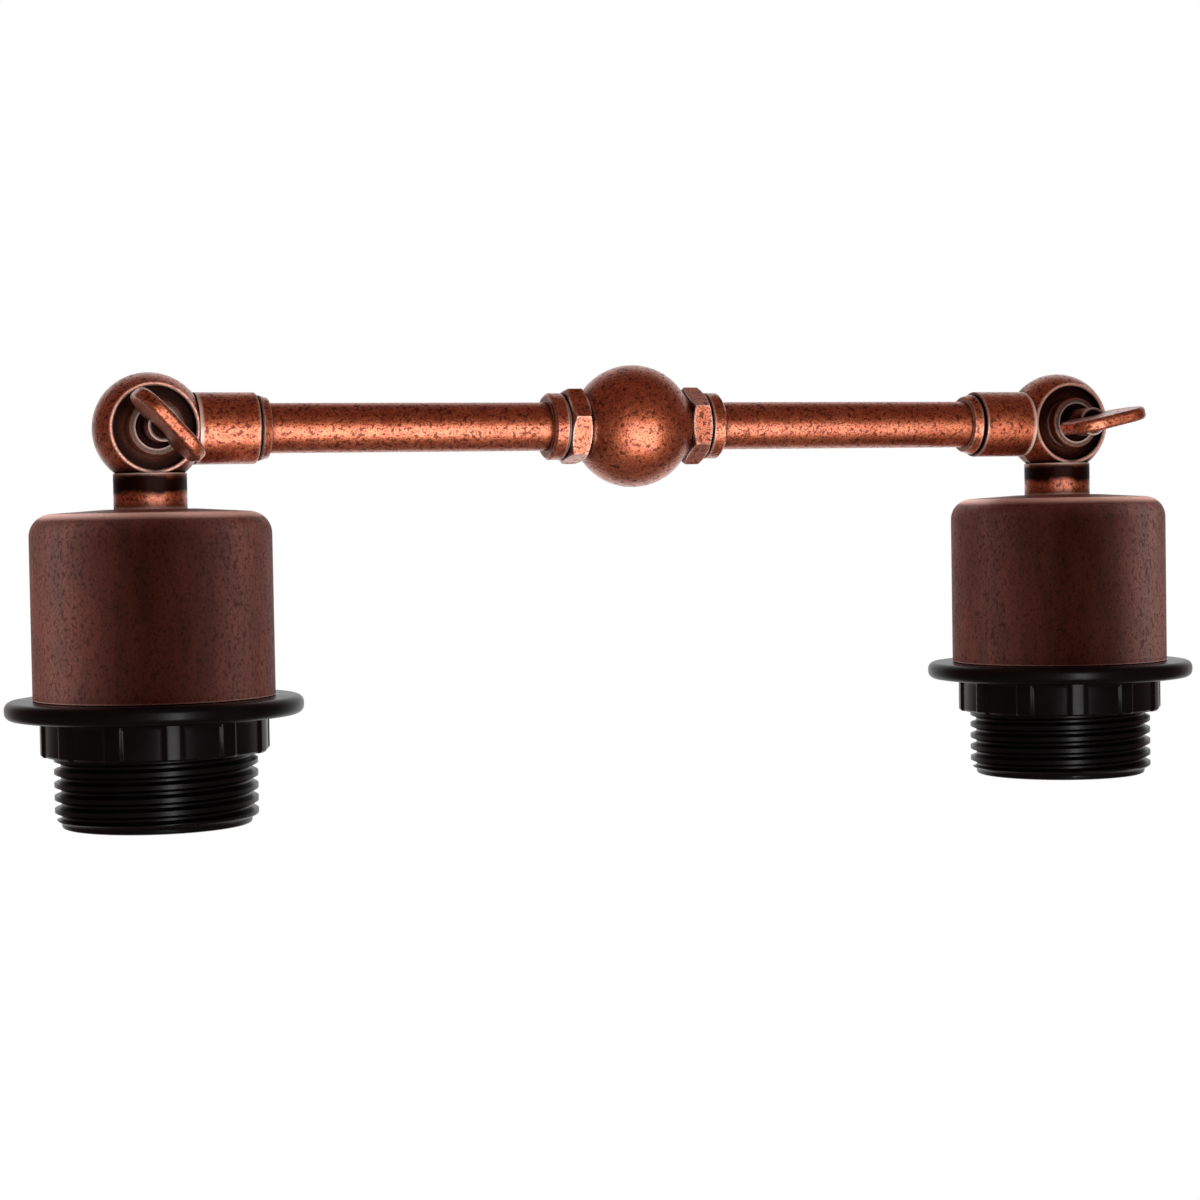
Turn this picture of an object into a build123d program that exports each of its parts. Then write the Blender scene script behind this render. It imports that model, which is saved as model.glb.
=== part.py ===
from build123d import *
import os
from math import sqrt, tan, radians

# A double lampholder bar for a wall light: a cross-drilled centre ball, two tubes, and at each end
# a split-ball knuckle that carries a cup, a screw-shell lampholder and a shade ring.
# Millimetres. +Z is up, +X runs along the bar, -Y is the front. The origin is the mouth of the rear port.

# Screwed joints
pipe_diameter = 10.0  # outside of the M10 x 1 thread on tubes and nipples
thread_clearance = 0.05  # radial gap in every screwed joint
wireway_diameter = 7.0  # passage for the two lamp wires

# Bar
holder_spacing = 202.0  # between the two lampholder axes
tube_bore = 8.0
tube_engagement = 5.5  # tube screwed into the ball
tube_stop = 1.2  # shoulder left between knuckle ball and tube end

# Centre ball
ball_diameter = 25.4
ball_boss_diameter = 14.6
ball_boss_reach = 11.2  # ball centre to the face under a lock nut
ball_boss_chamfer = 0.6
port_reach = 11.0  # ball centre to the face of the rear port
port_minor_diameter = 8.92  # tapped M10 x 1
port_depth = 6.6

# Lock nut and collar beside the ball
nut_across_flats = 14.0
nut_thickness = 4.2
nut_chamfer_angle = 30.0
nut_turn = {"left": 17.0, "right": 0.0}  # degrees off a flat facing front
collar_diameter = 13.8
collar_length = 3.6
collar_groove_width = 0.6
collar_groove_depth = 0.9
collar_chamfer = 0.5
collar_round = 0.2  # at the groove

# Split-ball knuckle
knuckle_diameter = 22.0
knuckle_wall = 3.5
split_gap = 0.2  # between the two clamped faces
stub_clearance = 0.3  # each stub to the half that turns past it
sleeve_diameter = 14.2
sleeve_length = 12.4  # past the ball, along the tube
lip_length = 2.0
lip_step = 0.5
lip_taper = 0.6
lip_groove_width = 0.5
lip_groove_depth = 0.9
lip_round = 0.25
neck_diameter = 14.3
neck_length = 4.7  # past the ball, down to the cup
front_face_reach = 6.7  # ball centre to the flat front face
rim_width = 0.6
rim_chamfer = 0.25
recess_depth = 2.2
chamber_front_depth = 2.5
chamber_rear_depth = 5.5
pivot_boss_diameter = 8.0
pivot_boss_gap = 0.4  # boss set back from the clamped faces

# Thumb screw and its washer
screw_diameter = 5.0
screw_depth = 8.0  # below the split, in the rear half
screw_end_gap = 0.5
pivot_clearance = 0.25  # radial, screw shank in the front half
washer_diameter = 10.4
washer_thickness = 0.6
washer_dish = 0.5
washer_gap = 0.1
head_diameter = 10.8
head_length = 3.0
head_round = 0.5
head_groove_width = 1.2
head_groove_depth = 0.8
stem_diameter = 6.0
stem_length = 4.0
spade_width = 17.5
spade_length = 14.0
spade_thickness = 2.7
spade_corner = 5.5
spade_edge = 0.9
thumb_turn = {"left": 47.0, "right": 12.0}  # degrees, inner wing down

# Lampholder skirt, dome and terminal block
skirt_thread_diameter = 39.5  # outside thread for the shade ring
skirt_exposed = 14.1  # thread below the shade ring
skirt_neck_height = 8.0
skirt_neck_wall = 2.2
skirt_relief_width = 1.0
skirt_relief_depth = 0.5
skirt_relief_cover = 0.6  # of the relief, hidden in the shade ring
skirt_edge = 0.8
mouth_lip = 3.0
mouth_clearance = 0.7
dome_overlap = 1.0  # dome outside, past the skirt thread
dome_wall = 2.6
dome_roof = 2.8
dome_boss_wall = 3.0
dome_boss_length = 3.0
holder_clearance = 0.1  # radial, between nested lampholder pieces
terminal_room = 8.0
block_flange_thickness = 5.0
block_depth = 14.0

# Screw shell and contacts
shell_bore = 26.6  # E27 thread, root of the holder's thread
shell_wall = 0.4
contact_room = 5.0  # between block and shell
contact_thickness = 0.8
contact_width = 6.0
contact_bend = 1.0
contact_slot_clearance = 0.2
contact_droop = 3.2
contact_leg_offset = 6.6  # centre contact's leg, from the holder axis
contact_tip_offset = 3.2
terminal_offset = 10.0
terminal_tab_end = 13.8
terminal_screw_diameter = 3.0
terminal_screw_length = 8.0
terminal_head_diameter = 5.5
terminal_head_height = 2.0
terminal_slot_width = 0.8
terminal_slot_depth = 0.9

# Cup, nipple and nipple nut
cup_height = 36.7
cup_wall = 1.2
cup_corner = 4.5
cup_seat_diameter = 18.0  # flat under the neck
cup_crown = 0.9  # fall from the seat to the shoulder
cup_room = 1.55  # radial, cup round the dome
nipple_nut_thickness = 3.0
nipple_stop = 0.4  # shoulder left between knuckle ball and nipple
nipple_tail = 1.0  # past the dome's boss

# Shade ring
ring_gap = 0.2  # under the cup
ring_clearance = 0.15  # radial, on the skirt thread
flange_diameter = 58.0
flange_thickness = 3.6
flange_edge = 1.5
grip_height = 7.2
grip_wall = 1.9
grip_fillet = 1.2
rib_count = 12
rib_width = 3.4
rib_height = 0.5
ring_turn = {"left": -2.0, "right": 20.0}  # degrees, front rib towards the bar

# Sizes worked out from the ones above
holder_reach = holder_spacing / 2
pipe_radius = pipe_diameter / 2
pipe_hole = pipe_radius + thread_clearance
wireway = wireway_diameter / 2
knuckle_radius = knuckle_diameter / 2
room_radius = knuckle_radius + stub_clearance
chamber_radius = knuckle_radius - knuckle_wall
rim_radius = sqrt(knuckle_radius**2 - front_face_reach**2)
recess_floor = front_face_reach - recess_depth
head_seat = recess_floor + washer_dish + washer_thickness + washer_gap
sleeve_reach = knuckle_radius + sleeve_length
tube_end = room_radius + tube_stop
tube_root = holder_reach - ball_boss_reach + tube_engagement
nut_face = holder_reach - ball_boss_reach

# Drops below the knuckle centre, along the lampholder axis
cup_top = knuckle_radius + neck_length
cup_bottom = cup_top + cup_height
nipple_top = room_radius + nipple_stop
dome_top = cup_top + cup_wall + nipple_nut_thickness
block_top = dome_top + dome_roof + terminal_room
block_seat = block_top + block_flange_thickness
block_bottom = block_seat + block_depth
skirt_shoulder = block_seat + skirt_neck_height
boss_bottom = dome_top + dome_roof + dome_boss_length
nipple_bottom = boss_bottom + nipple_tail
ring_top = cup_bottom + ring_gap
grip_top = ring_top + flange_thickness
ring_bottom = grip_top + grip_height
skirt_bottom = ring_bottom + skirt_exposed
shell_top = block_bottom + contact_room
shell_bottom = skirt_bottom - mouth_lip

# Radii of the nested lampholder pieces, from the skirt thread outwards and inwards
skirt_radius = skirt_thread_diameter / 2
dome_radius = skirt_radius + dome_overlap
dome_bore = dome_radius - dome_wall
cup_radius = dome_radius + cup_room + cup_wall
neck_outer = dome_bore - holder_clearance
neck_bore = neck_outer - skirt_neck_wall
block_radius = neck_bore - holder_clearance
shell_radius = shell_bore / 2 + shell_wall
shell_seat = shell_radius + holder_clearance
ring_bore = skirt_radius + ring_clearance
grip_radius = ring_bore + grip_wall
terminal_hole_radius = terminal_screw_diameter / 2 + holder_clearance
# the side contact's corners lie on the shell's outside
side_leg_offset = contact_thickness / 2 - sqrt(shell_radius**2 - (contact_width / 2) ** 2)


def turned(outline, rounds=()):
    """Solid turned about Z from (radius, height) corners, with some corners rounded."""
    face = make_face(Polyline(*outline, close=True))
    for corner, radius in rounds:
        face = fillet(face.vertices().sort_by_distance(corner)[0], radius)
    return revolve(Plane.XZ * face, Axis.Z)


def dropped(outline, rounds=()):
    """Solid turned about the lampholder axis from (radius, drop) corners."""
    below = [(radius, -drop) for radius, drop in outline]
    return turned(below, [((corner[0], -corner[1]), radius) for corner, radius in rounds])


def rod(radius, start, end):
    """Cylinder along Z between two heights."""
    return Pos(0, 0, start) * Cylinder(radius, end - start, align=(Align.CENTER, Align.CENTER, Align.MIN))


def pipe(outer, inner, start, end):
    """Hollow cylinder along Z between two heights."""
    return rod(outer, start, end) - rod(inner, start, end)


def hex_nut(across_flats, thickness, hole):
    """Hexagon nut on Z with chamfered corners, two of them on the X axis."""
    apothem = across_flats / 2
    corner = across_flats / sqrt(3)
    slope = (corner - apothem) * tan(radians(nut_chamfer_angle))
    prism = extrude(RegularPolygon(corner, 6), thickness)
    crown = turned([(0, 0), (apothem, 0), (corner, slope), (corner, thickness - slope), (apothem, thickness),
                    (0, thickness)])
    return (prism & crown) - rod(hole, 0, thickness)


along_bar = Rot(Y=90)  # Z to +X, towards the centre ball on the left arm
to_front = Rot(X=90)  # Z to -Y
to_back = Rot(X=-90)  # Z to +Y


def centre_ball():
    """Ball with three turned bosses, cross-drilled for the tubes and the rear port."""
    ball = Sphere(ball_diameter / 2) & Box(2 * ball_boss_reach, ball_diameter, ball_diameter)
    ball = split(ball, Plane.XZ.offset(-port_reach), Keep.TOP)
    boss = ball_boss_diameter / 2
    boss_face = boss - ball_boss_chamfer
    boss_end = ball_boss_reach - ball_boss_chamfer
    ball += along_bar * turned([
        (0, -ball_boss_reach), (boss_face, -ball_boss_reach), (boss, -boss_end), (boss, boss_end),
        (boss_face, ball_boss_reach), (0, ball_boss_reach)])
    ball += to_back * rod(boss, 0, port_reach)
    for direction in (-1, 1):
        socket = rod(pipe_hole, ball_boss_reach - tube_engagement, ball_boss_reach)
        ball -= Rot(Y=90 * direction) * socket
    ball -= along_bar * rod(tube_bore / 2, -ball_boss_reach, ball_boss_reach)
    ball -= to_back * rod(wireway, 0, port_reach)
    ball -= to_back * rod(port_minor_diameter / 2, port_reach - port_depth, port_reach)
    return ball


def arm_tube():
    """Tube from the knuckle sleeve into the centre ball."""
    return along_bar * pipe(pipe_radius, tube_bore / 2, tube_end, tube_root)


def lock_nut(turn):
    """Hexagon nut that locks the tube against the ball's boss."""
    nut = Pos(0, 0, nut_face - nut_thickness) * hex_nut(nut_across_flats, nut_thickness, pipe_hole)
    return Rot(X=turn) * along_bar * nut


def tube_collar():
    """Turned collar on the tube, with a groove beside the lock nut."""
    outer = collar_diameter / 2
    end = nut_face - nut_thickness
    start = end - collar_length
    groove = end - collar_groove_width
    outline = [
        (pipe_hole, start), (outer - collar_chamfer, start), (outer, start + collar_chamfer), (outer, groove),
        (outer - collar_groove_depth, groove), (outer - collar_groove_depth, end), (pipe_hole, end)]
    return along_bar * turned(outline, [((outer, groove), collar_round)])


def ball_half(radius, offset, keep):
    """Part of a ball in front of (Keep.TOP) or behind (Keep.BOTTOM) a plane across Y."""
    return split(Sphere(radius), Plane.XZ.offset(offset), keep)


def knuckle_rear():
    """Rear half of the knuckle ball with the sleeve for the tube and the thread for the thumb screw."""
    outer = sleeve_diameter / 2
    lip_outer = outer - lip_step
    lip_root = outer - lip_groove_depth
    lip_start = sleeve_reach - lip_length
    groove_start = lip_start - lip_groove_width
    sleeve_edge = (outer, groove_start)
    lip_edges = [(lip_outer, lip_start), (lip_outer - lip_taper, sleeve_reach)]
    outline = [(0, 0), (outer, 0), sleeve_edge, (lip_root, groove_start), (lip_root, lip_start), *lip_edges,
               (0, sleeve_reach)]
    sleeve = along_bar * turned(outline, [(edge, lip_round) for edge in (sleeve_edge, *lip_edges)])
    sleeve -= ball_half(room_radius, -split_gap / 2, Keep.TOP)
    half = ball_half(knuckle_radius, -split_gap / 2, Keep.BOTTOM) + sleeve
    half -= to_back * rod(chamber_radius, 0, chamber_rear_depth)
    half += to_back * rod(pivot_boss_diameter / 2, split_gap / 2 + pivot_boss_gap, chamber_rear_depth)
    half -= to_back * rod(screw_diameter / 2 + thread_clearance, 0, screw_depth + screw_end_gap)
    half -= along_bar * rod(wireway, pivot_boss_diameter / 2, sleeve_reach)
    return half - along_bar * rod(pipe_hole, tube_end, sleeve_reach)


def knuckle_front():
    """Front half of the knuckle ball with its recessed face and the neck that carries the cup."""
    outer = neck_diameter / 2
    neck = dropped([(0, rim_radius), (outer, rim_radius), (outer, cup_top), (0, cup_top)])
    neck -= ball_half(room_radius, split_gap / 2, Keep.BOTTOM)
    half = ball_half(knuckle_radius, split_gap / 2, Keep.TOP)
    half -= to_front * rod(knuckle_radius, front_face_reach, knuckle_radius)
    half += neck
    recess = rim_radius - rim_width
    half -= to_front * turned([
        (0, recess_floor), (recess, recess_floor), (recess, front_face_reach - rim_chamfer),
        (recess + rim_chamfer, front_face_reach), (0, front_face_reach)])
    half -= to_front * rod(chamber_radius, 0, chamber_front_depth)
    half -= to_front * rod(screw_diameter / 2 + pivot_clearance, 0, front_face_reach)
    half -= rod(wireway, -cup_top, -pivot_boss_diameter / 2)
    return half - rod(pipe_hole, -cup_top, -nipple_top)


def spring_washer():
    """Dished washer on the floor of the recess."""
    inner = screw_diameter / 2 + pivot_clearance
    outer = washer_diameter / 2
    crest = recess_floor + washer_dish
    return to_front * turned([
        (inner, crest), (outer, recess_floor), (outer, recess_floor + washer_thickness),
        (inner, crest + washer_thickness)])


def thumb_screw(turn):
    """Spade-headed screw that clamps the two halves of the knuckle."""
    shank = screw_diameter / 2
    head = head_diameter / 2
    stem = stem_diameter / 2
    groove = stem + head_groove_width
    head_front = head_seat + head_length
    spade_start = head_front + stem_length
    head_edge = (head, head_front)
    groove_floor = head_front - head_groove_depth
    outline = [
        (0, -screw_depth), (shank, -screw_depth), (shank, head_seat), (head, head_seat), head_edge,
        (groove, head_front), (groove, groove_floor), (stem, groove_floor), (stem, spade_start + stem),
        (0, spade_start + stem)]
    spindle = turned(outline, [(head_edge, head_round)])
    blade = extrude(Plane.XZ * RectangleRounded(spade_width, spade_length, spade_corner), spade_thickness / 2,
                    both=True)
    blade = fillet(blade.edges().filter_by(Axis.Y, reverse=True), spade_edge)
    spindle += Pos(0, 0, spade_start + spade_length / 2) * blade
    return Rot(Y=turn) * to_front * spindle


def holder_cup():
    """Spun cup with a crowned top and a rounded shoulder, closed round the nipple."""
    inner = cup_radius - cup_wall
    seat = cup_seat_diameter / 2
    roof = cup_top + cup_wall
    shoulder = (cup_radius, cup_top + cup_crown)
    hollow = (inner, roof + cup_crown)
    outline = [(pipe_hole, cup_top), (seat, cup_top), shoulder, (cup_radius, cup_bottom), (inner, cup_bottom),
               hollow, (seat, roof), (pipe_hole, roof)]
    return dropped(outline, [(shoulder, cup_corner), (hollow, cup_corner - cup_wall)])


def cup_nipple():
    """Hollow threaded nipple that joins neck, cup and dome."""
    return pipe(pipe_radius, wireway, -nipple_bottom, -nipple_top)


def nipple_nut():
    """Hexagon nut that clamps the cup's top to the neck."""
    return Pos(0, 0, -dome_top) * hex_nut(nut_across_flats, nipple_nut_thickness, pipe_hole)


def holder_dome():
    """Insulating dome screwed on the nipple, with a ledge that holds the terminal block down."""
    roof = dome_top + dome_roof
    boss = pipe_hole + dome_boss_wall
    ledge = block_radius - holder_clearance
    return dropped([
        (pipe_hole, dome_top), (dome_radius, dome_top), (dome_radius, skirt_shoulder),
        (dome_bore, skirt_shoulder), (dome_bore, block_top), (ledge, block_top), (ledge, roof), (boss, roof),
        (boss, boss_bottom), (pipe_hole, boss_bottom)])


def strip(path):
    """Bent contact strip, its width across Y."""
    start = Plane(origin=path @ 0, x_dir=(0, 1, 0), z_dir=path % 0)
    return sweep(start * Rectangle(contact_width, contact_thickness), path)


def contact_paths():
    """Middle lines of the sprung centre contact and of the side contact, in the plane across Y."""
    half = contact_thickness / 2
    top = -block_top + half
    foot = -block_bottom - half
    tip = -contact_tip_offset
    centre = FilletPolyline(
        (terminal_tab_end, 0, top), (contact_leg_offset, 0, top), (contact_leg_offset, 0, foot),
        (0, 0, foot - contact_droop), (tip, 0, foot - contact_droop / 2), radius=contact_bend)
    side = FilletPolyline(
        (-contact_leg_offset, 0, top), (side_leg_offset, 0, top), (side_leg_offset, 0, -shell_top),
        radius=contact_bend)
    return centre, side


def terminal_hole(side):
    """Hole for a terminal screw through the tab and into the block."""
    hole = rod(terminal_hole_radius, -block_top - terminal_screw_length, -block_top + contact_thickness)
    return Pos(side * terminal_offset, 0, 0) * hole


def contacts():
    """Sprung centre contact and side contact, each with its screw hole."""
    centre_path, side_path = contact_paths()
    return strip(centre_path) - terminal_hole(1), strip(side_path) - terminal_hole(-1)


def terminal_block():
    """Insulating block between dome and skirt, slotted for the contacts."""
    flange = dome_bore - holder_clearance
    block = dropped([(0, block_top), (flange, block_top), (flange, block_seat), (block_radius, block_seat),
                     (block_radius, block_bottom), (0, block_bottom)])
    slot_width = contact_width + 2 * contact_slot_clearance
    slot = Box(contact_thickness + 2 * contact_slot_clearance, slot_width, 2 * (block_bottom - block_top))
    bend_room = contact_bend + contact_thickness
    relief = Box(2 * bend_room, slot_width, 2 * bend_room)
    for leg in (contact_leg_offset, side_leg_offset):
        block -= Pos(leg, 0, -block_bottom) * slot
        block -= Pos(leg + bend_room / 2, 0, -block_top) * relief
    for side in (-1, 1):
        block -= terminal_hole(side)
    return block


def terminal_screws():
    """Two slotted screws that clamp the wires to the contact tabs."""
    seat = -block_top + contact_thickness
    screw = rod(terminal_screw_diameter / 2, -block_top - terminal_screw_length, seat)
    screw += rod(terminal_head_diameter / 2, seat, seat + terminal_head_height)
    screw -= Pos(0, 0, seat + terminal_head_height) * Box(
        terminal_slot_width, 2 * terminal_head_diameter, 2 * terminal_slot_depth)
    return Pos(-terminal_offset, 0, 0) * screw + Pos(terminal_offset, 0, 0) * screw


def screw_shell():
    """Thin metal shell that takes the lamp cap."""
    return pipe(shell_radius, shell_bore / 2, -shell_bottom, -shell_top)


def socket_skirt():
    """Outer skirt: a neck inside the dome, the thread for the shade ring, and the mouth."""
    relief_top = ring_bottom - skirt_relief_cover
    relief_bottom = relief_top + skirt_relief_width
    relief = skirt_radius - skirt_relief_depth
    mouth = shell_seat + mouth_clearance
    return dropped([
        (neck_bore, block_seat), (neck_outer, block_seat), (neck_outer, skirt_shoulder),
        (skirt_radius, skirt_shoulder), (skirt_radius, relief_top), (relief, relief_top),
        (relief, relief_bottom), (skirt_radius, relief_bottom),
        (skirt_radius, skirt_bottom - skirt_edge), (skirt_radius - skirt_edge, skirt_bottom),
        (mouth + skirt_edge, skirt_bottom), (mouth, skirt_bottom - skirt_edge), (mouth, shell_bottom),
        (shell_seat, shell_bottom), (shell_seat, shell_top), (neck_bore, shell_top)])


def shade_ring(turn):
    """Screwed ring with a wide flange and a ribbed grip, which holds a shade up against the cup."""
    edge = flange_diameter / 2
    rim = [(edge, ring_top), (edge, grip_top)]
    root = (grip_radius, grip_top)
    outline = [(ring_bore, ring_top), *rim, root, (grip_radius, ring_bottom), (ring_bore, ring_bottom)]
    ring = dropped(outline, [(rim[0], flange_edge), (rim[1], flange_edge), (root, grip_fillet)])
    rib_depth = grip_wall / 2 + rib_height
    rib = Box(rib_depth, rib_width, grip_height, align=(Align.MIN, Align.CENTER, Align.CENTER))
    spots = PolarLocations(grip_radius - grip_wall / 2, rib_count, start_angle=turn - 90)
    for spot in spots:
        ring += Pos(0, 0, -(grip_top + ring_bottom) / 2) * spot * rib
    return ring


def arm_pieces(side):
    """Every piece of one arm, about its knuckle centre, with the bar towards +X."""
    centre_contact, side_contact = contacts()
    return {
        "arm_tube": arm_tube(),
        "lock_nut": lock_nut(nut_turn[side]),
        "tube_collar": tube_collar(),
        "knuckle_rear": knuckle_rear(),
        "knuckle_front": knuckle_front(),
        "spring_washer": spring_washer(),
        "thumb_screw": thumb_screw(thumb_turn[side]),
        "holder_cup": holder_cup(),
        "cup_nipple": cup_nipple(),
        "nipple_nut": nipple_nut(),
        "holder_dome": holder_dome(),
        "terminal_block": terminal_block(),
        "centre_contact": centre_contact,
        "side_contact": side_contact,
        "terminal_screws": terminal_screws(),
        "screw_shell": screw_shell(),
        "socket_skirt": socket_skirt(),
        "shade_ring": shade_ring(ring_turn[side]),
    }


os.makedirs("parts", exist_ok=True)
export_step(Pos(0, -port_reach, 0) * centre_ball(), "parts/centre_ball.step")
for side, place in (("left", -holder_reach), ("right", holder_reach)):
    for name, piece in arm_pieces(side).items():
        if side == "right":
            piece = mirror(piece, about=Plane.YZ)
        export_step(Pos(place, -port_reach, 0) * piece, f"parts/{name}_{side}.step")
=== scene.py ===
import bpy
import bmesh
from math import cos, hypot, radians, sin, tau
from mathutils import Matrix, Vector


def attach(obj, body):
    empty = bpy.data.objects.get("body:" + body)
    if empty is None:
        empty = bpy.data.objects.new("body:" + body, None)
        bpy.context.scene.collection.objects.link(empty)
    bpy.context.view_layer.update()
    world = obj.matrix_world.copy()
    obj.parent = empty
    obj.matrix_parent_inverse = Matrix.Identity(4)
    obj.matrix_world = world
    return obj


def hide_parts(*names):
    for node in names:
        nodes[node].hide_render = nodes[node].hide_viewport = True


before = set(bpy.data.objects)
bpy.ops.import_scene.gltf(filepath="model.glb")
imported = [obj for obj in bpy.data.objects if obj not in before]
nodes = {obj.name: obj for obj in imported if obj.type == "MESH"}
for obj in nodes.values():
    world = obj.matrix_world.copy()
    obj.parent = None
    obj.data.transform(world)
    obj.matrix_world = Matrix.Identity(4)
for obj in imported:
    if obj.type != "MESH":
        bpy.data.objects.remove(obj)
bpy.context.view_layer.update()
scene = bpy.context.scene
sides = ("left", "right")
print("frame loaded:", len(nodes), "nodes")


# a value on its way through a node tree, so that maths reads as maths
class Wire:
    def __init__(self, sheet, socket):
        self.sheet, self.socket = sheet, socket

    def maths(self, operation, first, second):
        return self.sheet.node("ShaderNodeMath", {"operation": operation}, {0: first, 1: second})

    def __add__(self, other):
        return self.maths("ADD", self, other)

    def __radd__(self, other):
        return self.maths("ADD", other, self)

    def __sub__(self, other):
        return self.maths("SUBTRACT", self, other)

    def __rsub__(self, other):
        return self.maths("SUBTRACT", other, self)

    def __mul__(self, other):
        return self.maths("MULTIPLY", self, other)

    def __rmul__(self, other):
        return self.maths("MULTIPLY", other, self)

    def atLeast(self, other):
        return self.maths("MAXIMUM", self, other)

    # 0 below low, 1 above high, an eased ramp between
    def between(self, low, high):
        sockets = {"Value": self, "From Min": low, "From Max": high}
        return self.sheet.node("ShaderNodeMapRange", {"interpolation_type": "SMOOTHSTEP"}, sockets)


# one node tree: a finish of the lamp, the floor or the world
class Sheet:
    speckle = {"coarse": (0.51, 0.65), "fine": (0.50, 0.66), "fineSize": 0.5, "fineDepth": 0.7}

    def __init__(self, owner):
        owner.use_nodes = True
        self.owner, self.tree = owner, owner.node_tree
        self.tree.nodes.clear()

    def node(self, kind, settings={}, sockets={}, out=0):
        made = self.tree.nodes.new(kind)
        for key, value in settings.items():
            setattr(made, key, value)
        for key, value in sockets.items():
            if isinstance(value, Wire):
                self.tree.links.new(value.socket, made.inputs[key])
            else:
                made.inputs[key].default_value = value
        if made.outputs:
            return Wire(self, made.outputs[out])

    # sockets 6 and 7 take the two colours, 2 gives their mix
    def mix(self, factor, first, second):
        first, second = [c if isinstance(c, Wire) else (*c, 1.0) for c in (first, second)]
        return self.node("ShaderNodeMix", {"data_type": "RGBA"}, {0: factor, 6: first, 7: second}, out=2)

    def vectors(self, operation, first, second=(0.0, 0.0, 0.0), out="Vector"):
        return self.node("ShaderNodeVectorMath", {"operation": operation}, {0: first, 1: second}, out=out)

    # place on the piece itself, in metres, so that the pattern stays put when it moves
    def place(self):
        return self.node("ShaderNodeTexCoord", out="Object")

    def along(self, axis, vector):
        return self.node("ShaderNodeSeparateXYZ", {}, {0: vector}, out=axis)

    def noise(self, size, detail, rough, place=None):
        sockets = {"Vector": place or self.place(), "Scale": 1.0 / size, "Detail": detail, "Roughness": rough}
        return self.node("ShaderNodeTexNoise", {}, sockets)

    # how clear the room is within reach of a point: low in a crevice, or at an edge when looking inside
    def openness(self, reach, samples=6, **settings):
        settings["samples"] = samples
        return self.node("ShaderNodeAmbientOcclusion", settings, {"Distance": reach}, out="AO")

    # flecks of two sizes, the fine ones fainter
    def specks(self, size, place=None):
        fineSize = size * self.speckle["fineSize"]
        coarse = self.noise(size, detail=2.0, rough=0.5, place=place).between(*self.speckle["coarse"])
        fine = self.noise(fineSize, detail=1.0, rough=0.5, place=place).between(*self.speckle["fine"])
        return coarse.atLeast(fine * self.speckle["fineDepth"])

    def bump(self, height, depth):
        return self.node("ShaderNodeBump", {}, {"Height": height, "Distance": depth, "Strength": 1.0})

    def surface(self, **sockets):
        named = {spaced(key): value for key, value in sockets.items()}
        shader = self.node("ShaderNodeBsdfPrincipled", {}, named)
        self.node("ShaderNodeOutputMaterial", {}, {"Surface": shader})
        return self.owner


# baseColor -> Base Color, specularIORLevel -> Specular IOR Level
def spaced(name):
    words = "".join(" " + c if c.isupper() else c for c in name[1:])
    return (name[0].upper() + words).replace("I O R", "IOR")


def finish(name):
    return Sheet(bpy.data.materials.new(name))


# the patina colour darkens real flecks and, as painted shade, crevices, recesses and the band under the
# knuckle ball
antiqueCopper = {
    "bright": (0.84, 0.245, 0.11), "dull": (0.54, 0.115, 0.047), "patinaAndShade": (0.011, 0.0022, 0.0015),
    "worn": (0.98, 0.72, 0.61), "mottle": 0.005, "mottleShare": 0.6, "grain": 0.0011, "grainShare": 0.9,
    "toneShift": 0.25, "toneRange": (0.25, 0.75), "speckSize": 0.0008, "speckDepth": 0.72, "speckPit": 0.6,
    "recessReach": 0.010, "recessRange": (0.88, 1.0), "recessSamples": 10, "creviceReach": 0.0025,
    "creviceRange": (0.45, 0.95), "creviceDepth": 0.995, "edgeReach": 0.0008, "edgeRange": (0.45, 0.9),
    "edgeWearAndHighlight": 0.8, "roughness": 0.4, "roughnessSpread": 0.14, "patinaAndShadeRoughness": 0.15,
    "grainDepth": 0.00004, "coat": 1.0, "coatLoss": 0.95, "coatRoughness": 0.24,
}
# painted shadow: a dark band under the knuckle ball and round the top of the neck
knuckleCopper = {**antiqueCopper, "shade": {"rise": (-0.0134, -0.0120), "fall": (-0.0100, -0.0072),
                                            "ragged": 0.003, "depth": 0.99}}
ballCopper = {**antiqueCopper, "bore": {"radius": (0.0051, 0.0052), "end": (-0.0068, -0.0066), "clean": 0.75}}
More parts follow.
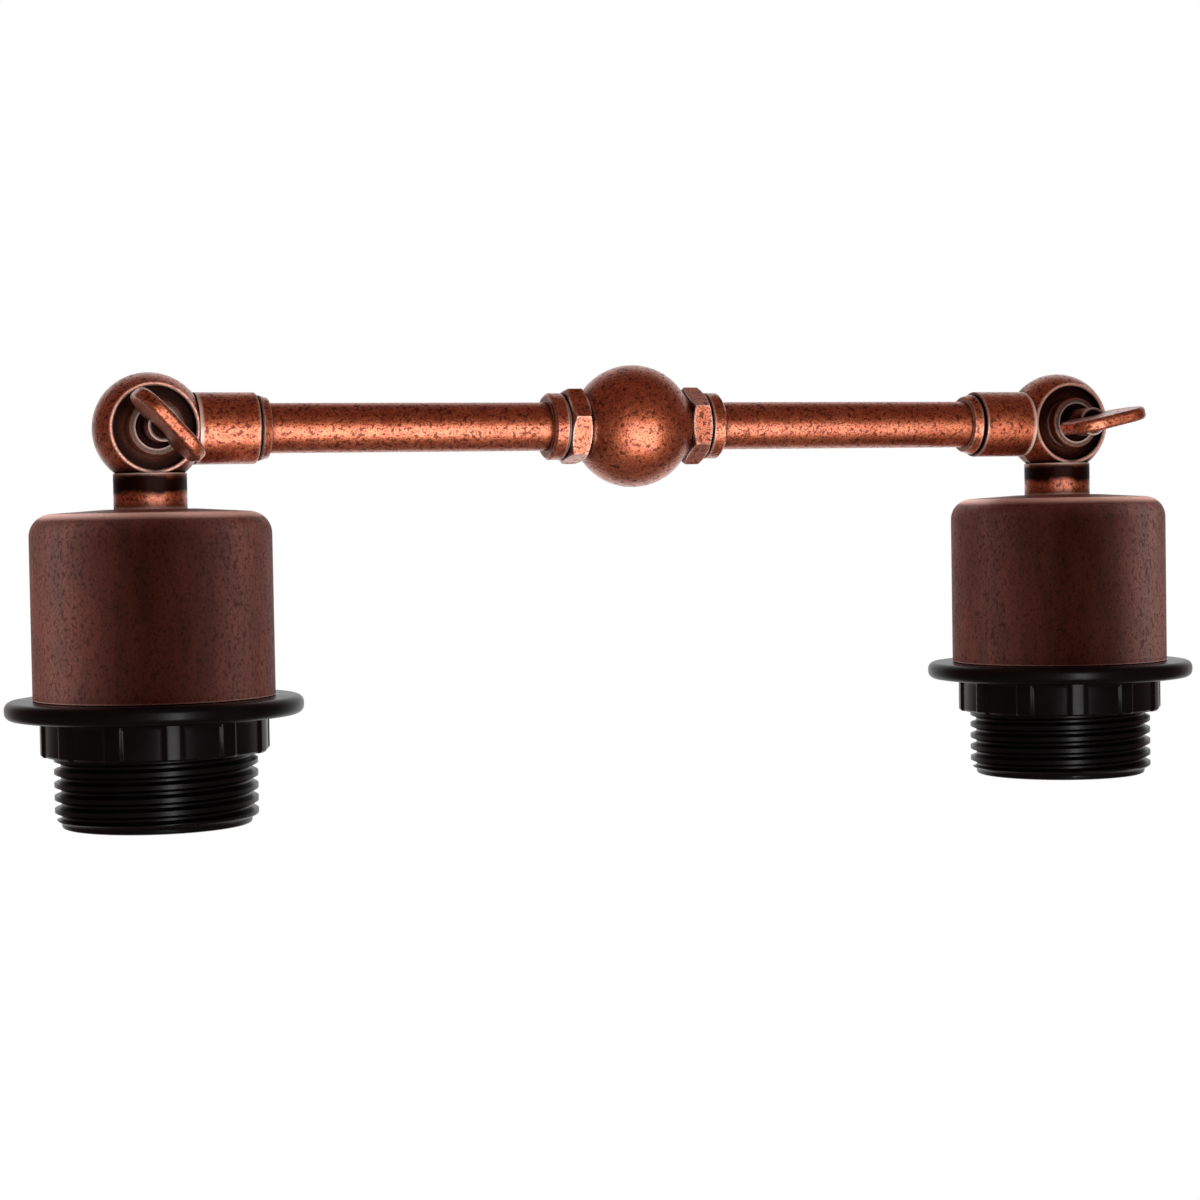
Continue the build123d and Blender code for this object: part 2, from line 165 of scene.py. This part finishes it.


# brown patina in specks, painted shade darkening the crevices, recesses and gaps between parts, and edges
# lightened partly as wear and partly as a painted highlight
def makeCopper(name, look):
    sheet = finish(name)
    mottle = sheet.noise(look["mottle"], detail=3.0, rough=0.6)
    grain = sheet.noise(look["grain"], detail=3.0, rough=0.6)
    specks = sheet.specks(look["speckSize"])
    # painted shade: darker in recesses, in crevices and in the gaps between parts, found by ambient occlusion
    recess = sheet.openness(look["recessReach"], only_local=True, samples=look["recessSamples"])
    crevice = (1 - recess.between(*look["recessRange"])).atLeast(
        1 - sheet.openness(look["creviceReach"]).between(*look["creviceRange"]))
    # edges made pale and less metallic: partly real wear, partly a painted highlight along the rims
    edge = 1 - sheet.openness(look["edgeReach"], only_local=True, inside=True).between(*look["edgeRange"])
    tone = mottle * look["mottleShare"] + grain * look["grainShare"] - look["toneShift"]
    colour = sheet.mix(tone.between(*look["toneRange"]), look["dull"], look["bright"])
    dark = (specks * look["speckDepth"]).atLeast(crevice * look["creviceDepth"])
    # painted shadow, darkening the copper by height under the ball
    if "shade" in look:  # under the ball and round the top of the neck
        shade = look["shade"]
        height = sheet.along("Z", sheet.place()) + (mottle - 0.5) * shade["ragged"]
        band = height.between(*shade["rise"]) * (1 - height.between(*shade["fall"]))
        dark = dark.atLeast(band * shade["depth"])
    # in the tapped bore the flecks, the painted shade and the pale edges fade out
    if "bore" in look:  # freshly tapped, with little patina and nothing rubbed
        bore = look["bore"]
        x, y, z = [sheet.along(axis, sheet.place()) for axis in "XYZ"]
        within = 1 - (x * x + z * z).between(*[radius * radius for radius in bore["radius"]])
        fresh = within * y.between(*bore["end"]) * bore["clean"]
        dark, edge = dark * (1 - fresh), edge * (1 - fresh)
    # mix in the dark: patina flecks, plus painted shade in crevices and under the knuckle ball
    colour = sheet.mix(dark, colour, look["patinaAndShade"])
    colour = sheet.mix(edge * look["edgeWearAndHighlight"], colour, look["worn"])
    roughness = look["roughness"] + (grain - 0.5) * look["roughnessSpread"] + dark * look["patinaAndShadeRoughness"]
    normal = sheet.bump(grain - specks * look["speckPit"], look["grainDepth"])
    coat = look["coat"] * (1 - dark * look["coatLoss"])
    return sheet.surface(baseColor=colour, metallic=1 - edge * look["edgeWearAndHighlight"], roughness=roughness,
                         normal=normal, coatWeight=coat, coatRoughness=look["coatRoughness"])


# the worn colour is a painted highlight on the shoulder, and partly wear, partly painted highlight on the
# edges
cupCopper = {
    "body": (0.132, 0.037, 0.025), "dull": (0.085, 0.026, 0.018), "speck": (0.020, 0.008, 0.007),
    "worn": (0.62, 0.36, 0.30), "streakSize": (0.004, 0.004, 0.016), "streakRange": (0.3, 0.7),
    "speckSize": 0.0007, "speckStretch": (1.0, 1.0, 1.5), "speckDepth": 0.5, "speckRoughness": 0.2,
    "metal": 0.1, "roughness": 0.5, "grainDepth": 0.00003, "gloss": 0.08, "edgeReach": 0.0004,
    "edgeRange": (0.45, 0.9), "edgeWearAndHighlight": 0.5, "shoulderHighlightStart": (0.66, 0.93), "shoulderHighlightEnd": (0.975, 0.998),
    "shoulderHighlight": 0.85,
}


# darker lacquered copper, streaked from top to bottom and finely flecked, with a painted highlight along the
# shoulder and edges lightened partly as wear and partly as a painted highlight
def makeCup(look):
    sheet = finish("cup copper")
    streakPlace = sheet.vectors("DIVIDE", sheet.place(), look["streakSize"])
    speckPlace = sheet.vectors("DIVIDE", sheet.place(), look["speckStretch"])
    streaks = sheet.noise(1.0, detail=3.0, rough=0.6, place=streakPlace)
    grain = sheet.noise(look["speckSize"], detail=3.0, rough=0.6)
    specks = sheet.specks(look["speckSize"], speckPlace)
    facing = sheet.along("Z", sheet.node("ShaderNodeTexCoord", out="Normal"))
    edge = 1 - sheet.openness(look["edgeReach"], only_local=True, inside=True).between(*look["edgeRange"])
    colour = sheet.mix(streaks.between(*look["streakRange"]), look["dull"], look["body"])
    colour = sheet.mix(specks * look["speckDepth"], colour, look["speck"])
    # painted highlight: a pale band where the cup's top rounds over, picked by which way the surface faces
    shoulder = facing.between(*look["shoulderHighlightStart"]) * (1 - facing.between(*look["shoulderHighlightEnd"]))
    wearAndHighlight = (edge * look["edgeWearAndHighlight"]).atLeast(shoulder * look["shoulderHighlight"])
    colour = sheet.mix(wearAndHighlight, colour, look["worn"])
    roughness = look["roughness"] + specks * look["speckRoughness"]
    return sheet.surface(baseColor=colour, metallic=look["metal"], roughness=roughness,
                         specularIORLevel=look["gloss"], normal=sheet.bump(grain, look["grainDepth"]))


moulding = {"cloud": 0.008, "cloudRange": (0.35, 0.75), "roughnessSpread": 0.12}
blackMoulding = {**moulding, "body": (0.002, 0.002, 0.0025), "bloom": (0.004, 0.004, 0.0045),
                 "roughness": 0.3, "grain": 0.0006, "grainDepth": 0.00001, "gloss": 0.18}
domeMoulding = {**moulding, "body": (0.012, 0.012, 0.012), "bloom": (0.02, 0.02, 0.02),
                "roughness": 0.55, "grain": 0.0005, "grainDepth": 0.00002, "gloss": 0.4}
ceramic = {**moulding, "body": (0.74, 0.71, 0.65), "bloom": (0.82, 0.80, 0.76),
           "roughness": 0.38, "grain": 0.0008, "grainDepth": 0.00001, "gloss": 0.5}


# smooth moulded or fired surface with a faint bloom
def makeMoulding(name, look):
    sheet = finish(name)
    cloud = sheet.noise(look["cloud"], detail=3.0, rough=0.6)
    grain = sheet.noise(look["grain"], detail=2.0, rough=0.5)
    colour = sheet.mix(cloud.between(*look["cloudRange"]), look["body"], look["bloom"])
    roughness = look["roughness"] + (cloud - 0.5) * look["roughnessSpread"]
    return sheet.surface(baseColor=colour, roughness=roughness, specularIORLevel=look["gloss"],
                         normal=sheet.bump(grain, look["grainDepth"]))


metal = {"cloud": 0.003, "cloudRange": (0.3, 0.7), "roughnessSpread": 0.2,
         "grain": 0.0004, "grainDepth": 0.00001}
brass = {**metal, "bright": (0.80, 0.58, 0.26), "dull": (0.55, 0.36, 0.13), "roughness": 0.3}
platedSteel = {**metal, "bright": (0.70, 0.70, 0.69), "dull": (0.45, 0.45, 0.45), "roughness": 0.33}


# bare metal, unevenly dulled
def makeMetal(name, look):
    sheet = finish(name)
    cloud = sheet.noise(look["cloud"], detail=4.0, rough=0.6)
    grain = sheet.noise(look["grain"], detail=2.0, rough=0.5)
    colour = sheet.mix(cloud.between(*look["cloudRange"]), look["dull"], look["bright"])
    roughness = look["roughness"] + (cloud - 0.5) * look["roughnessSpread"]
    return sheet.surface(baseColor=colour, metallic=1.0, roughness=roughness,
                         normal=sheet.bump(grain, look["grainDepth"]))


finishes = {
    "copper": makeCopper("antique copper", antiqueCopper),
    "knuckle": makeCopper("knuckle copper", knuckleCopper),
    "ball": makeCopper("ball copper", ballCopper),
    "cup": makeCup(cupCopper),
    "black": makeMoulding("black moulding", blackMoulding),
    "dome": makeMoulding("dome moulding", domeMoulding),
    "ceramic": makeMoulding("ceramic", ceramic),
    "brass": makeMetal("brass", brass),
    "steel": makeMetal("plated steel", platedSteel),
}
nodeFinish = {
    "centre_ball": "ball", "arm_tube": "copper", "lock_nut": "copper", "tube_collar": "copper",
    "knuckle_rear": "knuckle", "knuckle_front": "knuckle", "thumb_screw": "copper", "holder_cup": "cup",
    "shade_ring": "black", "socket_skirt": "black", "holder_dome": "dome", "terminal_block": "ceramic",
    "centre_contact": "brass", "side_contact": "brass", "screw_shell": "brass",
    "spring_washer": "steel", "cup_nipple": "steel", "nipple_nut": "steel", "terminal_screws": "steel",
}


def dress(item, finishName):
    item.data.materials.clear()
    item.data.materials.append(finishes[finishName])


for name, item in nodes.items():
    plain = name.rsplit("_", 1)[0] if name.endswith(sides) else name
    dress(item, nodeFinish[plain])
print("finishes made:", len(finishes))

# what each lamp of the studio may light
lit = {group: bpy.data.collections.new("lit " + group) for group in ("bar", "cups", "black")}
for name, item in nodes.items():
    group = "cups" if name.startswith("holder_cup") else "black" if name.startswith("shade_ring") else "bar"
    lit[group].objects.link(item)

weldReach = 1e-6  # points closer than this, in metres, become one


def eased(value):
    value = min(max(value, 0.0), 1.0)
    return value * value * (3 - 2 * value)


# once round, the last column on the first
def roundAngles(columns, turn=0.0):
    return [turn + tau * (i % columns) / columns for i in range(columns + 1)]


# faces between each row of points and the next
def skin(mesh, points):
    for row, below in zip(points, points[1:]):
        for i in range(len(row) - 1):
            mesh.faces.new((row[i], row[i + 1], below[i + 1], below[i]))


def weld(mesh):
    bmesh.ops.remove_doubles(mesh, verts=mesh.verts, dist=weldReach)
    bmesh.ops.dissolve_degenerate(mesh, edges=mesh.edges, dist=weldReach)


def newPiece(name, mesh, sharp, group, finishName):
    bmesh.ops.recalc_face_normals(mesh, faces=mesh.faces)
    data = bpy.data.meshes.new(name)
    mesh.to_mesh(data)
    mesh.free()
    data.shade_smooth()
    data.set_sharp_from_angle(angle=radians(sharp))
    item = bpy.data.objects.new(name, data)
    scene.collection.objects.link(item)
    lit[group].objects.link(item)
    dress(item, finishName)
    return item


# skin over closed rows that hold a (radius, height) for every column
def turnedPiece(name, axis, rows, finishName, turn=0.0, sharp=38):
    x, y = axis
    angles = roundAngles(len(rows[0]) - 1, turn)
    mesh = bmesh.new()
    points = [[mesh.verts.new((x + r * cos(a), y + r * sin(a), z)) for a, (r, z) in zip(angles, row)]
              for row in rows]
    skin(mesh, points + points[:1])
    weld(mesh)
    return newPiece(name, mesh, sharp, "black", finishName)


def plainRow(radius, height, columns):
    return [(radius, height)] * (columns + 1)


# rows that climb one pitch per turn; shape gives the radius for a phase and a height
def threadRows(look, top, bottom, columns, shape):
    pitch, perPitch = look["pitch"], look["perPitch"]
    count = perPitch * (int((top - bottom) / pitch) + 2)
    rows = []
    for j in range(count + 1):
        row = []
        for i in range(columns + 1):
            height = min(max(top + pitch * (i / columns - j / perPitch), bottom), top)
            row.append((shape((j % perPitch) / perPitch, height), height))
        rows.append(row)
    return rows


# lampholder axes, in metres; heights are measured from the bar's middle line
axes = {"left": (-0.101, -0.011), "right": (0.101, -0.011)}
skirt = {
    "neckBore": 0.01585, "neck": 0.01805, "neckTop": -0.0357, "shoulder": -0.0437, "crest": 0.01975,
    "depth": 0.0013, "pitch": 0.0025, "perPitch": 12, "columns": 120, "rootFlat": 0.18, "flank": 0.5,
    "threadTop": -0.0452, "runIn": 0.0012, "threadBottom": -0.0766, "runOut": 0.0010, "edge": 0.0005,
    "edgeRound": 0.3, "bottom": -0.0775, "mouth": 0.0145, "mouthEdge": 0.0008, "seat": 0.0138,
    "seatTop": -0.0547, "seatBottom": -0.0745,
}


# flat crests and narrower roots, eased into each other; full at the top, run out to the root at the bottom
def skirtThread(phase, height):
    tooth = eased((abs(phase - 0.5) * 2 - skirt["rootFlat"]) / skirt["flank"])
    runIn = eased((skirt["threadTop"] - height) / skirt["runIn"])
    runOut = eased((height - skirt["threadBottom"]) / skirt["runOut"])
    depth = skirt["depth"] * max((1 - tooth) * runIn, 1 - runOut)
    return skirt["crest"] - depth


def makeSkirt(side, look):
    def row(radius, height):
        return plainRow(radius, height, look["columns"])

    root = look["crest"] - look["depth"]
    edge, mouthEdge = look["edge"], look["mouthEdge"]
    soft = edge * look["edgeRound"]
    rows = [row(look["neckBore"], look["neckTop"]), row(look["neck"], look["neckTop"]),
            row(look["neck"], look["shoulder"]), row(look["crest"] - edge, look["shoulder"]),
            row(look["crest"], look["shoulder"] - edge)]
    rows += threadRows(look, look["threadTop"], look["threadBottom"], look["columns"], skirtThread)
    rows += [row(root, look["bottom"] + edge), row(root - soft, look["bottom"] + soft),
             row(root - edge, look["bottom"]), row(look["mouth"] + mouthEdge, look["bottom"]),
             row(look["mouth"], look["bottom"] + mouthEdge), row(look["mouth"], look["seatBottom"]),
             row(look["seat"], look["seatBottom"]), row(look["seat"], look["seatTop"]),
             row(look["neckBore"], look["seatTop"])]
    piece = turnedPiece("threaded_skirt_" + side, axes[side], rows, "black")
    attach(piece, "holder_" + side)
    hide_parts("socket_skirt_" + side)


shell = {"middle": 0.0128, "wave": 0.0005, "wall": 0.0004, "outside": 0.0137, "pitch": 0.00363,
         "perPitch": 12, "columns": 96, "top": -0.0547, "bottom": -0.0745, "run": 0.0015}


# a round wave that dies away at both ends
def shellThread(phase, height):
    run = eased((shell["top"] - height) / shell["run"]) * eased((height - shell["bottom"]) / shell["run"])
    plain = shell["outside"] - shell["wall"] / 2
    return plain + (shell["middle"] + shell["wave"] * cos(tau * phase) - plain) * run


# rolled sheet: the same wave inside and outside, a wall apart
def makeShell(side, look):
    half = look["wall"] / 2
    middle = threadRows(look, look["top"], look["bottom"], look["columns"], shellThread)
    rows = [[(r + half, z) for r, z in row] for row in middle]
    rows += [[(r - half, z) for r, z in row] for row in reversed(middle)]
    piece = turnedPiece("rolled_shell_" + side, axes[side], rows, "brass")
    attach(piece, "holder_" + side)
    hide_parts("screw_shell_" + side)


ring = {
    "bore": 0.0199, "top": -0.0526, "flange": 0.029, "round": 0.0015, "under": -0.0562, "fillet": 0.0012,
    "grip": 0.0218, "bottom": -0.0634, "chamfer": 0.0004, "ribs": 12, "ribHeight": 0.0005, "perRib": 36,
    "ribShape": (1, 1, 1, 1, 1, 0.85, 0.15), "ribTurn": {"left": -92.0, "right": -110.0},
}


def arc(middle, radius, start, end, steps=5):
    angles = [radians(start + (end - start) * k / steps) for k in range(steps + 1)]
    return [(middle[0] + radius * cos(a), middle[1] + radius * sin(a)) for a in angles]


# wide round-edged flange, with soft ribs down the grip below it
def makeRing(side, look):
    perRib, shape = look["perRib"], look["ribShape"]
    columns = look["ribs"] * perRib
    away = [min(i % perRib, -i % perRib) for i in range(columns + 1)]  # columns off the nearest rib
    rib = [look["ribHeight"] * shape[k] if k < len(shape) else 0.0 for k in away]
    rim, fillet, foot = look["flange"] - look["round"], look["fillet"], look["bottom"] + look["chamfer"]
    outline = [(look["bore"], look["top"])]
    outline += arc((rim, look["top"] - look["round"]), look["round"], 90, 0)
    outline += arc((rim, look["under"] + look["round"]), look["round"], 0, -90)
    rows = [plainRow(r, z, columns) for r, z in outline]
    for r, z in arc((look["grip"] + fillet, look["under"] - fillet), fillet, 90, 180):
        rows.append([(max(r, look["grip"] + h), z) for h in rib])
    rows += [[(look["grip"] + h, foot) for h in rib],
             [(look["grip"] + h - look["chamfer"], look["bottom"]) for h in rib],
             plainRow(look["bore"] + look["chamfer"], look["bottom"], columns),
             plainRow(look["bore"], foot, columns)]
    piece = turnedPiece("ribbed_ring_" + side, axes[side], rows, "black", radians(look["ribTurn"][side]))
    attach(piece, "ring_" + side)
    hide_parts("shade_ring_" + side)


# slack and lean tell the faces of the plain wall from the rest of the ball
port = {"minor": 0.00446, "major": 0.00496, "mouth": 0.0051, "depth": 0.0066, "pitch": 0.001,
        "perPitch": 12, "flat": 0.06, "flank": 0.32, "runOut": 0.001, "lip": 0.0001,
        "slack": 0.00002, "lean": 0.05, "sharp": 18}


# straight flanks from a bevelled mouth, run out before the end of the hole
def portThread(phase, height):
    groove = min(max((port["flank"] + port["flat"] - abs(phase - 0.5)) / port["flank"], 0.0), 1.0)
    runOut = eased((height + port["depth"] - port["lip"]) / port["runOut"])
    return max(port["minor"] + (port["major"] - port["minor"]) * groove * runOut, port["mouth"] + height)


# the turned ball, with the plain wall of its rear port changed for a tapped one
def makeBall(look):
    def onWall(face):
        away = [abs(hypot(point.co.x, point.co.z) - look["minor"]) for point in face.verts]
        return max(away) < look["slack"] and abs(face.normal.y) < look["lean"]

    def nearMouth(point):
        return point.co.y > -look["depth"] / 2

    mesh = bmesh.new()
    mesh.from_mesh(nodes["centre_ball"].data)
    weld(mesh)
    mesh.normal_update()
    wall = [face for face in mesh.faces if onWall(face)]
    mouth = {point for face in wall for point in face.verts if nearMouth(point)}
    bmesh.ops.delete(mesh, geom=wall, context="FACES")
    for point in mouth:
        point.co.x *= look["mouth"] / look["minor"]
        point.co.z *= look["mouth"] / look["minor"]
    columns = len(mouth)
    rows = threadRows(look, -look["lip"], look["lip"] - look["depth"], columns, portThread)
    skin(mesh, [[mesh.verts.new((r * cos(a), height, -r * sin(a)))
                 for a, (r, height) in zip(roundAngles(columns), row)] for row in rows])
    weld(mesh)
    rims = [edge for edge in mesh.edges if edge.is_boundary]
    for upper in (True, False):  # the thread joins the ball at the mouth and at the end of the hole
        bmesh.ops.bridge_loops(mesh, edges=[edge for edge in rims if nearMouth(edge.verts[0]) == upper])
    ball = newPiece("tapped_ball", mesh, look["sharp"], "bar", "ball")
    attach(ball, "bar")
    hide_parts("centre_ball")
    print("port tapped in", columns, "columns")


makeBall(port)
for side in sides:
    makeSkirt(side, skirt)
    makeShell(side, shell)
    makeRing(side, ring)
print("skirts, shells and rings made")

# white sweep far from the lamp, pale floor under it
stage = {
    "floorDrop": 0.8, "floorReach": 12.0, "floorColour": (0.80, 0.80, 0.80), "nearRadius": 0.55,
    "farRadius": 1.0, "nearWhite": 0.8, "white": (1.0, 1.0, 1.0), "roomColour": (0.155, 0.080, 0.062),
    "sweepColour": (0.90, 0.90, 0.90), "roomEnd": 0.45, "sweepStart": 1.0, "sweepSide": (0.35, 0.93, 0.05),
}


# 1 where a direction points at the sweep, 0 where it points into the room
def sweepMask(sheet, direction, look):
    back = sheet.vectors("DOT_PRODUCT", direction, look["sweepSide"], out="Value")
    return back.between(look["roomEnd"], look["sweepStart"])


def makeFloor(look):
    bpy.ops.mesh.primitive_plane_add(size=2 * look["floorReach"], location=(0, 0, -look["floorDrop"]))
    ground = bpy.context.object
    ground.name = "floor"
    sheet = finish("floor")
    far = sheet.vectors("LENGTH", sheet.place(), out="Value").between(look["nearRadius"], look["farRadius"])
    swept = sweepMask(sheet, sheet.vectors("NORMALIZE", sheet.place()), look)
    seen = sheet.node("ShaderNodeLightPath", out="Is Camera Ray")
    mirrored = sheet.node("ShaderNodeLightPath", out="Is Glossy Ray")
    through = sheet.node("ShaderNodeLightPath", out="Is Transmission Ray")
    white = (seen * look["nearWhite"]).atLeast(seen.atLeast(mirrored * swept).atLeast(through) * far)
    pale = sheet.node("ShaderNodeBsdfDiffuse", {}, {"Color": (*look["floorColour"], 1.0)})
    glow = sheet.node("ShaderNodeEmission", {}, {"Strength": 1.0})
    both = sheet.node("ShaderNodeMixShader", {}, {0: white, 1: pale, 2: glow})
    sheet.node("ShaderNodeOutputMaterial", {}, {"Surface": both})
    ground.data.materials.append(sheet.owner)


# dim warm room in front, white sweep behind, pure white where the camera looks past the lamp
def makeWorld(look):
    scene.world = bpy.data.worlds.new("studio")
    sheet = Sheet(scene.world)
    swept = sweepMask(sheet, sheet.node("ShaderNodeTexCoord", out="Generated"), look)
    colour = sheet.mix(swept, look["roomColour"], look["sweepColour"])
    seen = sheet.node("ShaderNodeLightPath", out="Is Camera Ray")
    colour = sheet.mix(seen, colour, look["white"])
    glow = sheet.node("ShaderNodeBackground", {}, {"Color": colour, "Strength": 1.0})
    sheet.node("ShaderNodeOutputWorld", {}, {"Surface": glow})


makeFloor(stage)
makeWorld(stage)

# bearing 0 is straight in front, 90 on the right; each lamp is flagged off all but the group that it lights
wallLamp = {"rise": 12.0, "away": 0.9, "size": (0.5, 0.9), "power": 10.5, "lights": "cups"}
lamps = {
    "low front": {"bearing": 0.0, "rise": -21.0, "away": 0.65, "size": (0.80, 0.62), "power": 4.8,
                  "lights": "bar"},
    "strip": {"bearing": -3.0, "rise": -2.0, "away": 0.7, "size": (0.10, 0.7), "power": 2.2,
              "lights": "black"},
    "left wall": {"bearing": -104.0, **wallLamp},
    "right wall": {"bearing": 76.0, **wallLamp},
    "high back": {"bearing": 165.0, "rise": 50.0, "away": 0.9, "size": (0.7, 0.4), "power": 8.0,
                  "lights": "cups"},
}
aim = Vector((0.0, -0.011, -0.02))  # the point that every lamp of the studio faces


def makeLamp(name, look):
    data = bpy.data.lights.new(name, "AREA")
    data.shape, data.energy = "RECTANGLE", look["power"]
    data.size, data.size_y = look["size"]
    lamp = bpy.data.objects.new(name, data)
    scene.collection.objects.link(lamp)
    bearing, rise = radians(look["bearing"]), radians(look["rise"])
    out = Vector((sin(bearing) * cos(rise), -cos(bearing) * cos(rise), sin(rise)))
    lamp.location = aim + out * look["away"]
    lamp.rotation_euler = (-out).to_track_quat("-Z", "Y").to_euler()
    lamp.visible_camera = False
    lamp.light_linking.receiver_collection = lit[look["lights"]]


for name, look in lamps.items():
    makeLamp(name, look)

camera = {"place": (-0.194, -0.5175, -0.018), "yaw": -20.19, "pitch": -1.92, "roll": -1.0,
          "lens": 77.8, "sensor": 36.0, "near": 0.01}


def makeCamera(look):
    data = bpy.data.cameras.new("camera")
    data.lens, data.sensor_width = look["lens"], look["sensor"]
    data.clip_start = look["near"]
    item = bpy.data.objects.new("camera", data)
    scene.collection.objects.link(item)
    yaw, pitch = radians(look["yaw"]), radians(look["pitch"])
    ahead = Vector((-sin(yaw) * cos(pitch), cos(yaw) * cos(pitch), sin(pitch)))
    turn = ahead.to_track_quat("-Z", "Y").to_matrix() @ Matrix.Rotation(radians(look["roll"]), 3, "Z")
    item.matrix_world = Matrix.Translation(look["place"]) @ turn.to_4x4()
    scene.camera = item


makeCamera(camera)
scene.view_settings.view_transform = "Standard"
print("stage, lamps and camera set")
